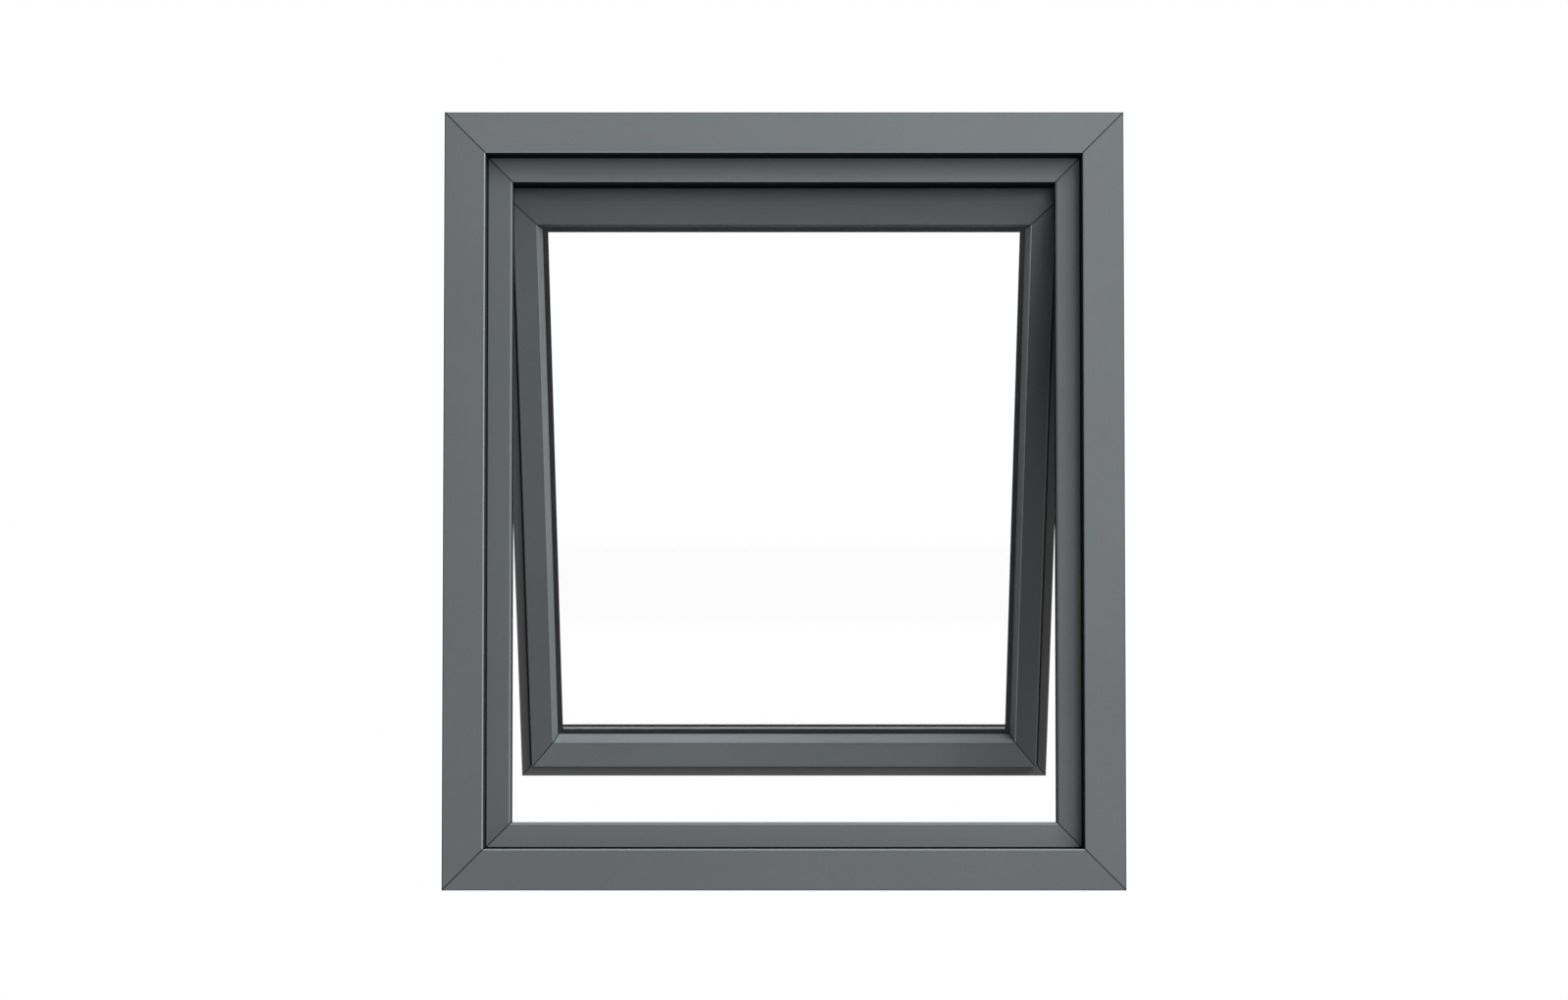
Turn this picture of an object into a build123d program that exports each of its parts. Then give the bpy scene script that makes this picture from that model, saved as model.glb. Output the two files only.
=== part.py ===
"""Top-hung awning window in aluminium, held open on a pair of friction stays.

X runs to the right as seen from the room, Y from the room to the outside and Z up. The origin is the
middle of the sill's underside. A section's first coordinate runs inward from the outer edge of its
ring, and the second from the room towards the outside.
"""

from build123d import *
from math import cos, radians, sin, sqrt
import os

os.makedirs("parts", exist_ok=True)

# Outer frame
frame_width = 700
frame_height = 800
frame_depth = 92
frame_face = 42
frame_wall = 1.8
frame_web_depths = (27, 61)
frame_edge = 1

# Inner stop: a narrower bar set back from the room side of the frame
stop_face = 26
stop_set_back = 28
stop_lip_depth = 26
stop_depth = 34
stop_rebate = 10
stop_wall = 1.5
stop_edge = 1.8
stop_joint_width = 1.4
stop_joint_depth = 5

# Weather seal on the outside of the stop
seal_from_edge = 9
seal_width = 7
seal_base = 1.2
seal_shoulder_width = 3.5
seal_shoulder_height = 1.8
seal_crown_width = 1.8
seal_height = 3.6

# Sash
sash_side_lap = 2.5
sash_end_lap = 2
sash_closed_depth = 57
sash_depth = 34
stile_face = 24
top_rail_face = 24
bottom_rail_face = 30
flange_width = 12
drip_width = 16
flange_set_back = 9
step_groove_width = 1.4
step_groove_depth = 2
sash_wall = 1.6
sash_edge = 0.8
glazing_rebate = 3
outer_leg = 3
outer_leg_reach = 8
opening_angle = 27

# Glazing, with depths behind the sash's face
bead_width = 5.8
top_bead_width = 7.8
bead_depth = 12
bead_nose = 0.4
bead_lip = 1.1
bead_wall = 1.3
bead_hollow_start = 3.6
bead_hollow_margin = 1.8
pane_thickness = 4
pane_gap = 8
pane_inset = 1.5
edge_seal_width = 2
spacer_width = 5.1
inner_seal_lip = 11.5
inner_seal_thickness = 1
inner_seal_chamfer = 0.6
outer_seal_width = 8.4
outer_seal_inset = 1
block_length = 80
block_from_side = 90

# Friction stays
slider_below_sash_top = 3
slider_behind_face = 22
sash_bar_pivot_gap = 56
support_arm_length = 112
track_width = 16
track_height = 3.6
track_base = 1.6
track_lip = 1.5
track_top_overrun = 13
track_tail = 25
slider_length = 24
slider_clearance = 0.2
slider_proud = 1
stay_bar_width = 14
stay_bar_thickness = 2.4
stay_bar_tail = 90
arm_gap = 0.6
pivot_radius = 4
stay_screw_radius = 2.1
stay_screw_from_arm = 31.5
stay_screw_from_end = 8

# Fixings and drainage
fixing_radius = 2.75
fixing_depth = 78
fixing_heights = (130, 530)
drain_slot = (30, 6)
drain_cap = (44, 12, 7)
drain_cap_wall = 1.6
drain_offset = 200
drain_height = 20

# Places worked out from the dimensions above
room_side = -frame_depth / 2
half_width = frame_width / 2
frame_inner = half_width - frame_face
opening_half = frame_inner - stop_face
opening_low = frame_face + stop_face
opening_high = frame_height - frame_face - stop_face
face_half = opening_half + sash_side_lap
face_height = opening_high - opening_low + 2 * sash_end_lap
body_half = face_half + flange_width

# The slider runs down its track as the sash swings out, so the sash's place follows from the angle
swing = radians(opening_angle)
slider_closed_height = opening_high + sash_end_lap + flange_width - slider_below_sash_top
arm_pivot_height = slider_closed_height - sash_bar_pivot_gap - support_arm_length
arm_rise = sqrt(support_arm_length**2 - (sash_bar_pivot_gap * sin(swing)) ** 2)
slider_height = arm_pivot_height + sash_bar_pivot_gap * cos(swing) + arm_rise
track_line = room_side + sash_closed_depth + slider_behind_face
sash_place = Location((0, track_line, slider_height), (opening_angle, 0, 0))

# Heights and depths on the sash, measured from the slider's pivot with the sash upright
face_plane = -slider_behind_face
face_top = slider_below_sash_top - flange_width
face_bottom = face_top - face_height
face_inner_top = face_top - top_rail_face
glazing_top = face_inner_top - (top_bead_width - bead_width)
glazing_bottom = face_bottom + bottom_rail_face
glazing_half = face_half - stile_face
inner_pane_depth = face_plane + bead_depth + inner_seal_thickness
outer_pane_depth = inner_pane_depth + pane_thickness + pane_gap
unit_depth = outer_pane_depth + pane_thickness


def save(piece, name):
    """Labels a finished piece and writes it under its name."""
    piece.part.label = name
    export_step(piece.part, f"parts/{name}.step")


def on_sash(plane):
    """Moves a plane from the upright sash to the sash as it hangs open."""
    return Plane(sash_place * plane.location)


def upright(plane):
    """Leaves a plane of the fixed frame where it is."""
    return plane


def box_outline(left, low, right, high):
    """Corners of a rectangle."""
    return [(left, low), (right, low), (right, high), (left, high)]


def hollow_section(outline, chambers):
    """Closed section of an extruded bar with its chambers."""
    with BuildSketch() as section:
        with BuildLine():
            Polyline(*outline, close=True)
        make_face()
        for chamber in chambers:
            with BuildLine():
                Polyline(*chamber, close=True)
            make_face(mode=Mode.SUBTRACT)
    return section.sketch


def ring_sides(half, low, high, depth, widths, place):
    """Sides of a rectangular ring, in the order top, right, bottom, left.

    Each side gives its section plane, its length, and the planes of its two mitres. A mitre runs from
    the outer corner to the inner corner of bars with the given widths.
    """
    corners = [Vector(-half, depth, high), Vector(half, depth, high)]
    corners += [Vector(half, depth, low), Vector(-half, depth, low)]
    sides = []
    for index, start in enumerate(corners):
        end = corners[(index + 1) % 4]
        along = (end - start).normalized()
        inward = Vector(0, 1, 0).cross(along)
        own = widths[index]
        start_normal = along * own - inward * widths[index - 1]
        end_normal = along * -own - inward * widths[(index + 1) % 4]
        section_plane = Plane(origin=start, x_dir=inward, z_dir=along)
        start_mitre = Plane(origin=start, x_dir=(0, 1, 0), z_dir=start_normal)
        end_mitre = Plane(origin=end, x_dir=(0, 1, 0), z_dir=end_normal)
        length = (end - start).length
        sides.append((place(section_plane), length, place(start_mitre), place(end_mitre)))
    return sides


# Outer frame: hollow bars with three chambers, mitred at the corners
front_web, back_web = frame_web_depths
chamber_end = frame_face - frame_wall
frame_outline = [
    (0, frame_edge),
    (frame_edge, 0),
    (frame_face - frame_edge, 0),
    (frame_face, frame_edge),
    (frame_face, frame_depth - frame_edge),
    (frame_face - frame_edge, frame_depth),
    (frame_edge, frame_depth),
    (0, frame_depth - frame_edge),
]
frame_chambers = [
    box_outline(frame_wall, frame_wall, chamber_end, front_web),
    box_outline(frame_wall, front_web + frame_wall, chamber_end, back_web),
    box_outline(frame_wall, back_web + frame_wall, chamber_end, frame_depth - frame_wall),
]
frame_section = hollow_section(frame_outline, frame_chambers)
frame_names = ("frame_head", "frame_jamb_right", "frame_sill", "frame_jamb_left")
frame_sides = ring_sides(half_width, 0, frame_height, room_side, [frame_face] * 4, upright)

for name, (section_plane, length, start_mitre, end_mitre) in zip(frame_names, frame_sides):
    with BuildPart() as frame_bar:
        with BuildSketch(section_plane):
            add(frame_section)
        extrude(amount=length)
        split(bisect_by=start_mitre, keep=Keep.TOP)
        split(bisect_by=end_mitre, keep=Keep.TOP)
        if "jamb" in name:
            outward = 1 if name.endswith("right") else -1
            wall_side = (outward * half_width, 0, 0)
            with BuildSketch(Plane(origin=wall_side, x_dir=(0, 1, 0), z_dir=(outward, 0, 0))):
                for height in fixing_heights:
                    with Locations((room_side + fixing_depth, outward * height)):
                        Circle(fixing_radius)
            extrude(amount=-frame_face, mode=Mode.SUBTRACT)
        if name == "frame_sill":
            with BuildSketch(Plane.XZ.offset(-frame_depth / 2)):
                with Locations((-drain_offset, drain_height), (drain_offset, drain_height)):
                    Rectangle(*drain_slot)
            extrude(amount=frame_wall, mode=Mode.SUBTRACT)
    save(frame_bar, name)

# Inner stop: a fine open joint runs between it and the frame, and the rebate on its outside leaves
# room for the sash's raised face
stop_outline = [
    (0, stop_joint_depth),
    (stop_joint_width, stop_joint_depth),
    (stop_joint_width, 0),
    (stop_face - stop_edge, 0),
    (stop_face, stop_edge),
    (stop_face, stop_lip_depth),
    (stop_face - stop_rebate, stop_lip_depth),
    (stop_face - stop_rebate, stop_depth),
    (0, stop_depth),
]
stop_inner_wall = stop_face - stop_rebate - stop_wall
stop_chambers = [
    box_outline(
        stop_joint_width + stop_wall,
        stop_wall,
        stop_inner_wall,
        stop_depth - stop_wall,
    ),
    box_outline(
        stop_inner_wall + stop_wall,
        stop_wall + stop_edge,
        stop_face - stop_wall,
        stop_lip_depth - stop_wall,
    ),
]
stop_section = hollow_section(stop_outline, stop_chambers)
stop_names = ("stop_head", "stop_jamb_right", "stop_sill", "stop_jamb_left")
stop_low = frame_face
stop_high = frame_height - frame_face
stop_front = room_side + stop_set_back
stop_sides = ring_sides(frame_inner, stop_low, stop_high, stop_front, [stop_face] * 4, upright)

for name, (section_plane, length, start_mitre, end_mitre) in zip(stop_names, stop_sides):
    with BuildPart() as stop_bar:
        with BuildSketch(section_plane):
            add(stop_section)
        extrude(amount=length)
        split(bisect_by=start_mitre, keep=Keep.TOP)
        split(bisect_by=end_mitre, keep=Keep.TOP)
    save(stop_bar, name)

# Weather seal on the outside of the stop, where the flange of the closed sash presses
seal_middle = seal_width / 2
seal_back = stop_front + stop_depth
seal_half = frame_inner - seal_from_edge
seal_low = stop_low + seal_from_edge
seal_high = stop_high - seal_from_edge
with BuildPart() as frame_seal:
    with BuildLine(Plane.XZ.offset(-seal_back)) as seal_path:
        seal_corners = box_outline(-seal_half, seal_low, seal_half, seal_high)
        Polyline(*seal_corners, close=True)
    with BuildSketch(Plane(origin=(0, seal_back, seal_low), x_dir=(0, 0, 1), z_dir=(-1, 0, 0))):
        with BuildLine():
            Polyline(
                (0, 0),
                (seal_width, 0),
                (seal_width, seal_base),
                (seal_middle + seal_shoulder_width / 2, seal_shoulder_height),
                (seal_middle + seal_crown_width / 2, seal_height),
                (seal_middle - seal_crown_width / 2, seal_height),
                (seal_middle - seal_shoulder_width / 2, seal_shoulder_height),
                (0, seal_base),
                close=True,
            )
        make_face()
    sweep(path=seal_path.wire(), transition=Transition.RIGHT)
save(frame_seal, "frame_seal")


def sash_section(flange, face, sloped):
    """Hollow section of a rail or stile with its flange, raised face and glazing rebate.

    The flange steps back from the face at a groove, or slopes back from it on the top rail.
    """
    face_end = flange + face
    rebate_wall = face_end - glazing_rebate
    leg_end = face_end + outer_leg_reach
    groove_floor = flange_set_back + step_groove_depth
    step = [
        (flange - step_groove_width, flange_set_back),
        (flange - step_groove_width, groove_floor),
        (flange, groove_floor),
        (flange, sash_edge),
        (flange + sash_edge, 0),
    ]
    slope = [(flange, 0)]
    outline = [
        (0, flange_set_back),
        *(slope if sloped else step),
        (face_end, 0),
        (face_end, bead_depth),
        (rebate_wall, bead_depth),
        (rebate_wall, sash_depth - outer_leg),
        (leg_end, sash_depth - outer_leg),
        (leg_end, sash_depth),
        (0, sash_depth),
    ]
    chambers = [
        box_outline(flange + sash_wall, sash_wall, face_end - sash_wall, groove_floor),
        box_outline(
            sash_wall,
            groove_floor + sash_wall,
            rebate_wall - sash_wall,
            sash_depth - sash_wall,
        ),
    ]
    return hollow_section(outline, chambers)


# Sash: top rail, stiles and a deeper bottom rail, mitred from corner to corner
sash_names = ("sash_top_rail", "sash_stile_right", "sash_bottom_rail", "sash_stile_left")
sash_members = ((flange_width, top_rail_face), (flange_width, stile_face))
sash_members += ((drip_width, bottom_rail_face), (flange_width, stile_face))
sash_slopes = (True, False, False, False)
sash_sides = ring_sides(
    body_half,
    face_bottom - drip_width,
    face_top + flange_width,
    face_plane,
    [sum(member) for member in sash_members],
    on_sash,
)

for name, member, sloped, side in zip(sash_names, sash_members, sash_slopes, sash_sides):
    section_plane, length, start_mitre, end_mitre = side
    with BuildPart() as sash_bar:
        with BuildSketch(section_plane):
            add(sash_section(*member, sloped))
        extrude(amount=length)
        split(bisect_by=start_mitre, keep=Keep.TOP)
        split(bisect_by=end_mitre, keep=Keep.TOP)
    save(sash_bar, name)


def bead_section(width):
    """Hollow section of a glazing bead, which slopes from the sash's face down to the glass."""
    slope_end = bead_depth - bead_lip - 2 * bead_nose
    outline = [
        (0, bead_nose),
        (bead_nose, 0),
        (bead_lip, bead_nose),
        (width - bead_nose, slope_end),
        (width, bead_depth - bead_lip),
        (width, bead_depth),
        (0, bead_depth),
    ]
    chamber = [
        (bead_wall, bead_hollow_start),
        (width - bead_hollow_margin, bead_depth - bead_wall),
        (bead_wall, bead_depth - bead_wall),
    ]
    return hollow_section(outline, [chamber])


# Glazing beads, with a wider one along the top rail
bead_names = ("bead_top", "bead_right", "bead_bottom", "bead_left")
bead_widths = [top_bead_width, bead_width, bead_width, bead_width]
bead_sides = ring_sides(
    glazing_half, glazing_bottom, face_inner_top, face_plane, bead_widths, on_sash
)

for name, width, side in zip(bead_names, bead_widths, bead_sides):
    section_plane, length, start_mitre, end_mitre = side
    with BuildPart() as bead_bar:
        with BuildSketch(section_plane):
            add(bead_section(width))
        extrude(amount=length)
        split(bisect_by=start_mitre, keep=Keep.TOP)
        split(bisect_by=end_mitre, keep=Keep.TOP)
    save(bead_bar, name)

# Everything in the glazing is a plate or a ring about the middle of the glass
glazing_middle = (glazing_top + glazing_bottom) / 2
glazing_width = 2 * glazing_half
glazing_height = glazing_top - glazing_bottom


def glazing_plane(depth):
    """Plane across the sash at a depth, facing outside, with its origin in the middle of the glass."""
    return on_sash(Plane(origin=(0, depth, glazing_middle), x_dir=(-1, 0, 0), z_dir=(0, 1, 0)))


def glazing_size(inset):
    """Width and height of the glazing opening less an inset on every side."""
    return glazing_width - 2 * inset, glazing_height - 2 * inset


# Inner glazing seal: a strip under the bead with a lip that lies on the glass
with BuildPart() as inner_glazing_seal:
    with BuildSketch(glazing_plane(inner_pane_depth - inner_seal_thickness)):
        Rectangle(*glazing_size(pane_inset))
        Rectangle(*glazing_size(inner_seal_lip), mode=Mode.SUBTRACT)
    extrude(amount=inner_seal_thickness)
    outward_axis = Axis(sash_place.position, glazing_plane(0).z_dir)
    room_edges = inner_glazing_seal.edges().group_by(outward_axis)[0]
    chamfer(room_edges.sort_by(SortBy.LENGTH)[:4], length=inner_seal_chamfer)
save(inner_glazing_seal, "inner_glazing_seal")

# Outer glazing seal, between the outer leg of the sash and the glass
with BuildPart() as outer_glazing_seal:
    with BuildSketch(glazing_plane(unit_depth)):
        Rectangle(*glazing_size(outer_seal_inset))
        Rectangle(*glazing_size(outer_seal_inset + outer_seal_width), mode=Mode.SUBTRACT)
    extrude(amount=face_plane + sash_depth - outer_leg - unit_depth)
save(outer_glazing_seal, "outer_glazing_seal")

# Insulating glass: two panes, a spacer bar and the sealant round its edge
for name, depth in (("pane_inside", inner_pane_depth), ("pane_outside", outer_pane_depth)):
    with BuildPart() as pane:
        with BuildSketch(glazing_plane(depth)):
            Rectangle(*glazing_size(pane_inset))
        extrude(amount=pane_thickness)
    save(pane, name)

spacer_inset = pane_inset + edge_seal_width
with BuildPart() as spacer_bar:
    with BuildSketch(glazing_plane(inner_pane_depth + pane_thickness)):
        Rectangle(*glazing_size(spacer_inset))
        Rectangle(*glazing_size(spacer_inset + spacer_width), mode=Mode.SUBTRACT)
    extrude(amount=pane_gap)
save(spacer_bar, "spacer_bar")

with BuildPart() as edge_seal:
    with BuildSketch(glazing_plane(inner_pane_depth + pane_thickness)):
        Rectangle(*glazing_size(pane_inset))
        Rectangle(*glazing_size(spacer_inset), mode=Mode.SUBTRACT)
    extrude(amount=pane_gap)
save(edge_seal, "edge_seal")

# Setting blocks carry the glass on the bottom rail
block_height = glazing_rebate + pane_inset
block_centre = -glazing_height / 2 + pane_inset - block_height / 2
with BuildPart() as glazing_blocks:
    with BuildSketch(glazing_plane(inner_pane_depth)):
        with Locations(
            (-glazing_half + block_from_side, block_centre),
            (glazing_half - block_from_side, block_centre),
        ):
            Rectangle(block_length, block_height)
    extrude(amount=unit_depth - inner_pane_depth)
save(glazing_blocks, "glazing_blocks")

# Friction stays: the left one is built in place and the right one is its mirror image
track_back = -frame_inner
bar_outer = -body_half - stay_bar_thickness
arm_inner = bar_outer - arm_gap
arm_outer = arm_inner - stay_bar_thickness
slider_face = track_back + track_height + slider_proud
track_low = arm_pivot_height - track_tail
track_high = slider_closed_height + track_top_overrun

with BuildPart() as stay_track:
    with BuildSketch(Plane.XY.offset(track_low)):
        with Locations((track_back, track_line)):
            Rectangle(track_height, track_width, align=(Align.MIN, Align.CENTER))
        with Locations((track_back + track_base, track_line)):
            Rectangle(
                track_height,
                track_width - 2 * track_lip,
                align=(Align.MIN, Align.CENTER),
                mode=Mode.SUBTRACT,
            )
    extrude(amount=track_high - track_low)
    with BuildSketch(Plane.YZ.offset(track_back)):
        with Locations((track_line, arm_pivot_height)):
            Circle(pivot_radius)
    extrude(amount=arm_outer - track_back)

with BuildPart() as stay_slider:
    with BuildSketch(Plane.YZ.offset(track_back + track_base)):
        with Locations((track_line, slider_height)):
            Rectangle(track_width - 2 * (track_lip + slider_clearance), slider_length)
    extrude(amount=slider_face - track_back - track_base)
    with BuildSketch(Plane.YZ.offset(slider_face)):
        with Locations((track_line, slider_height)):
            Circle(pivot_radius)
    extrude(amount=bar_outer - slider_face)

bar_plane = on_sash(Plane.YZ.offset(bar_outer))
bar_length = sash_bar_pivot_gap + stay_bar_tail
with BuildPart() as stay_sash_bar:
    with BuildSketch(bar_plane):
        with Locations((0, -bar_length / 2)):
            SlotCenterToCenter(bar_length, stay_bar_width, rotation=90)
        with Locations(
            (0, -sash_bar_pivot_gap - stay_screw_from_arm),
            (0, stay_screw_from_end - bar_length),
        ):
            Circle(stay_screw_radius, mode=Mode.SUBTRACT)
    extrude(amount=stay_bar_thickness)

arm_pivot = Vector(arm_outer, track_line, arm_pivot_height)
arm_run = Vector(0, sash_bar_pivot_gap * sin(swing), arm_rise)
arm_plane = Plane(origin=arm_pivot, x_dir=arm_run, z_dir=(1, 0, 0))
with BuildPart() as stay_support_arm:
    with BuildSketch(arm_plane):
        with Locations((support_arm_length / 2, 0)):
            SlotCenterToCenter(support_arm_length, stay_bar_width)
    extrude(amount=stay_bar_thickness)
    with BuildSketch(arm_plane.offset(stay_bar_thickness)):
        with Locations((support_arm_length, 0)):
            Circle(pivot_radius)
    extrude(amount=arm_gap)

stay_pieces = {
    "track": stay_track,
    "slider": stay_slider,
    "sash_bar": stay_sash_bar,
    "support_arm": stay_support_arm,
}
for piece_name, left_piece in stay_pieces.items():
    save(left_piece, f"stay_left_{piece_name}")
    with BuildPart() as right_piece:
        mirror(left_piece.part, about=Plane.YZ)
    save(right_piece, f"stay_right_{piece_name}")

# Drain caps: hoods over the sill's drain slots, open underneath
cap_width, cap_height, cap_depth = drain_cap
with BuildPart() as drain_caps:
    with BuildSketch(Plane.XZ.offset(-frame_depth / 2)):
        with Locations((-drain_offset, drain_height), (drain_offset, drain_height)):
            Rectangle(cap_width, cap_height)
    extrude(amount=-cap_depth)
    with BuildSketch(Plane.XZ.offset(-frame_depth / 2)):
        with Locations(
            (-drain_offset, drain_height - drain_cap_wall),
            (drain_offset, drain_height - drain_cap_wall),
        ):
            Rectangle(cap_width - 2 * drain_cap_wall, cap_height)
    extrude(amount=drain_cap_wall - cap_depth, mode=Mode.SUBTRACT)
save(drain_caps, "drain_caps")
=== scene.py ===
"""Looks of a top-hung awning window: powder coat, glass, seals, friction stays and a plain studio."""

from dataclasses import dataclass
from functools import partial
from math import cos, pi, radians, sin, sqrt

import bmesh
import bpy
from bpy.props import FloatProperty, FloatVectorProperty, IntProperty, PointerProperty
from mathutils import Matrix, Vector


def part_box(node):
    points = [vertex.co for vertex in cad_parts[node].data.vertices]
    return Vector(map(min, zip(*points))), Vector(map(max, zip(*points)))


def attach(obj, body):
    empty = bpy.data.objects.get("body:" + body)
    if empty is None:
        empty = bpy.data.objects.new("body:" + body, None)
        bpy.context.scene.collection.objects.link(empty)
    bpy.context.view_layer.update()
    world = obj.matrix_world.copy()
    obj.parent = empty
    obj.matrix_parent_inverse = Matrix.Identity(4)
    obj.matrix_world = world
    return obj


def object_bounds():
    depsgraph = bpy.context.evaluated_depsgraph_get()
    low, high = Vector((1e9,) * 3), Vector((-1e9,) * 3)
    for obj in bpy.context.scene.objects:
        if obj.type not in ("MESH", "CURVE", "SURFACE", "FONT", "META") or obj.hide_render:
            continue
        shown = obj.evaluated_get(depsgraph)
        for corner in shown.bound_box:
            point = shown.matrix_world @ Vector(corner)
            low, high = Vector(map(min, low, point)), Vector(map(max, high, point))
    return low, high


bl_info = {
    "name": "Awning Window Finishes",
    "version": (1, 0, 0),
    "blender": (4, 5, 0),
    "location": "3D View > Sidebar > Awning Window",
    "description": "Finishes, small fasteners and a studio for a top-hung awning window",
    "category": "Object",
}

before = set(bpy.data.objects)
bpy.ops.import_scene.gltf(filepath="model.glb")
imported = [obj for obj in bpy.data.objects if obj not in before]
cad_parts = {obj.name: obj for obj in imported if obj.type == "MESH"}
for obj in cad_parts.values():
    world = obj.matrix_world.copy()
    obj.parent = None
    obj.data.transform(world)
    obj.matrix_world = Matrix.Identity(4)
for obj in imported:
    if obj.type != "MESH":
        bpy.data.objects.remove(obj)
CAD_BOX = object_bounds()

FRAME_NODES = ("frame_head", "frame_sill", "frame_jamb_left", "frame_jamb_right")
STOP_NODES = ("stop_head", "stop_sill", "stop_jamb_left", "stop_jamb_right")
SASH_NODES = ("sash_top_rail", "sash_bottom_rail", "sash_stile_left", "sash_stile_right")
BEAD_NODES = ("bead_top", "bead_bottom", "bead_left", "bead_right")
PANE_NODES = ("pane_inside", "pane_outside")
SIDES = ("left", "right")

# The sash turns about the sliders of its stays
OPEN_ANGLE = radians(27)
SLIDER_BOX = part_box("stay_left_slider")
PIVOT = Vector((0, *((SLIDER_BOX[0] + SLIDER_BOX[1]) / 2).yz))
SASH_UP = Vector((0, -sin(OPEN_ANGLE), cos(OPEN_ANGLE)))
SASH_OUT = Vector((0, cos(OPEN_ANGLE), sin(OPEN_ANGLE)))

# Widths of the sash's bars with their flanges, which set the slope of its mitres
STILE_WIDTH = 0.036
TOP_RAIL_WIDTH = 0.036
BOTTOM_RAIL_WIDTH = 0.046
TOP_BEAD_WIDTH = 0.0078
BEAD_WIDTH = 0.0058

# Bevels this near to a ring's outer edge belong to its rim, which gets painted shade where other bevels
# get a painted highlight
RIM_WIDTH = 0.003

# Cosines against a ring's outward direction that tell a face to the room, a side and a bevel apart
FACES_ROOM = -0.9
SIDE_LEAN = 0.2
BEVEL_LEAN = sqrt(0.5)
BEVEL_TOLERANCE = 0.05

# Painted shade on recess sides: one that faces up loses this share of what one that faces down loses
UPWARD_SHARE = 0.4

# The sash's flange lies behind its face, and the painted shade of its groove starts this far in from its
# side and bottom
FLANGE_SET_BACK = 0.0085
GROOVE_STARTS = (0.0094, 0.0134)

# The floor of the frame's groove lies at least this far behind the stop's face, and gets painted shade
STOP_GROOVE = 0.004

# Deeper than anything on the window, for a ring without a flange or a groove
BEYOND = 1.0

# Painted light and shade of each bar: the tone of its coat against the chosen colour, lighter or darker as
# light falls on it, and the painted highlight that makes its fine bevels lighter
BAR_PAINTED_LIGHT = {
    "frame_head": (1.12, 1.5), "frame_jamb_right": (1.06, 0.6), "frame_sill": (1.0, 1.5),
    "frame_jamb_left": (0.99, 1.8), "stop_head": (1.03, 0.8), "stop_jamb_right": (0.91, 0.2),
    "stop_sill": (1.06, 0.8), "stop_jamb_left": (0.86, 0.8), "sash_top_rail": (0.89, 0.5),
    "sash_stile_right": (0.83, 0.7), "sash_bottom_rail": (1.31, 0.7), "sash_stile_left": (0.97, 0.6),
    "bead_top": (0.62, 0.9), "bead_right": (1.9, 3.2), "bead_bottom": (1.7, 2.9), "bead_left": (1.7, 2.9),
}

# Places along the stays, in metres from their pivots
ARM_ON_SASH_BAR = 0.056
SASH_BAR_SCREWS = (0.0875, 0.138)
TRACK_TAIL = 0.025
TRACK_SCREWS = (-0.016, 0.045, 0.118)
TRACK_BASE = 0.0016
ARM_THICKNESS = 0.0024

# Heights of the small fasteners over what they sit on, and the end stops' width, rise and length
SCREW_PROUD = 0.00025
SCREW_SUNK = 0.0011
DOME_RISE = 0.0012
FLAT_RISE = 0.00045
END_STOP_SIZE = (0.0126, 0.0019, 0.009)
END_STOP_EASE = 0.0004

# Profile of a rivet's head, as shares of its radius and rise
RIVET_PROFILE = (
    (1.0, 0.0), (1.0, 0.25), (0.95, 0.55), (0.82, 0.82),
    (0.62, 0.97), (0.42, 1.0), (0.3, 0.86), (0.12, 0.78),
)

# Edges of a spacer hole's shade, as distances from its middle
SPACER_HOLE = (0.0002, 0.0004)

# Places of the studio's lights and camera, and how the camera is turned and framed
FRONT_LIGHT = (1.07, -4.74, 1.35)
UPPER_LIGHT = (1.50, -2.26, 2.48)
BACK_LIGHT = (-1.0, 4.4, 2.0)
CAMERA = (0, -3.6086, 0.1783)
CAMERA_TILT = 2.39
CAMERA_SHIFT = 0.045
SENSOR_WIDTH = 36

# The floor shows the camera this level in its middle, and turns white towards its edge
FLOOR_MIDDLE = 0.35
FLOOR_MIDDLE_RADIUS = 1.0
FLOOR_WHITE_RIM = 0.5

# Heights between which the even light of the surround sets in
HORIZON = (-0.1, 0.15)


def along(node, direction):
    """Lowest and highest reach of a node along a direction, measured from the sash's pivot."""
    reaches = [(v.co - PIVOT).dot(direction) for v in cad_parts[node].data.vertices]
    return min(reaches), max(reaches)


@dataclass
class Ring:
    """Four mitred bars: their directions, reach, mitre slopes, and where their flange and groove start."""

    origin: Vector
    up: Vector
    out: Vector
    half: float
    low: float
    high: float
    top_slope: float = 1.0
    bottom_slope: float = 1.0
    flange_depth: float = BEYOND
    groove_depth: float = BEYOND
    groove_side: float = 0.0
    groove_bottom: float = 0.0
    top_hidden: bool = True
    rim_width: float = 0.0


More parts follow.
